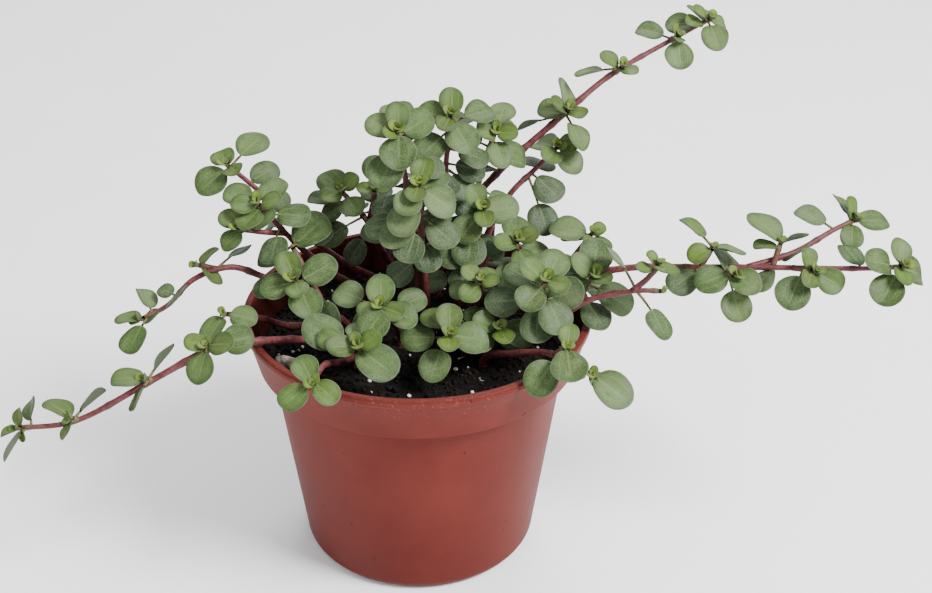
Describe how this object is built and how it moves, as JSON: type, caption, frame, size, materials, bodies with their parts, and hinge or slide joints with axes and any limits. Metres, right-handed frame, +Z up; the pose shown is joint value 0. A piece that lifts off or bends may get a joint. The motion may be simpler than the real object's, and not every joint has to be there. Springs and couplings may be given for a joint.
{
  "type": "potted trailing plant",
  "caption": "Creeping houseplant with small round grey-green leaves on thin red stems that trail over the rim of a round terracotta-coloured nursery pot.",
  "frame": {"origin": "centre of the pot's flat base, on the surface it stands on", "axes": "+Z up along the pot's axis, +X to the right of the picture, the way of the longest trailing stem, +Y away from the picture's camera"},
  "size_m": [0.2006, 0.0929, 0.1174],
  "materials": {
    "pot": "satin",
    "soil": "matte",
    "soil_chip": "matte",
    "leafy_stem": "satin"
  },
  "bodies": {
    "root": {"leafy_stem_back_left": "leafy_stem", "leafy_stem_back_right": "leafy_stem", "leafy_stem_behind_crown": "leafy_stem", "leafy_stem_behind_left": "leafy_stem", "leafy_stem_behind_middle": "leafy_stem", "leafy_stem_behind_right": "leafy_stem", "leafy_stem_centre_small": "leafy_stem", "leafy_stem_crown_back": "leafy_stem", "leafy_stem_crown_left": "leafy_stem", "leafy_stem_crown_middle": "leafy_stem", "leafy_stem_crown_right": "leafy_stem", "leafy_stem_front_left": "leafy_stem", "leafy_stem_front_middle": "leafy_stem", "leafy_stem_front_right": "leafy_stem", "leafy_stem_left_back": "leafy_stem", "leafy_stem_left_high": "leafy_stem", "leafy_stem_left_rosette": "leafy_stem", "leafy_stem_long_back_right": "leafy_stem", "leafy_stem_long_left": "leafy_stem", "leafy_stem_long_left_upper": "leafy_stem", "leafy_stem_long_right": "leafy_stem", "leafy_stem_low_middle": "leafy_stem", "leafy_stem_middle": "leafy_stem", "leafy_stem_over_rim_left": "leafy_stem", "leafy_stem_over_rim_right": "leafy_stem", "leafy_stem_right_rosette": "leafy_stem", "leafy_stem_right_upper": "leafy_stem", "leafy_stem_rim_left": "leafy_stem", "leafy_stem_rim_right": "leafy_stem", "leafy_stem_rim_right_upper": "leafy_stem", "leafy_stem_sprout_right": "leafy_stem", "pot": "pot", "soil": "soil", "soil_chip": "soil_chip"}
  },
  "joints": []
}
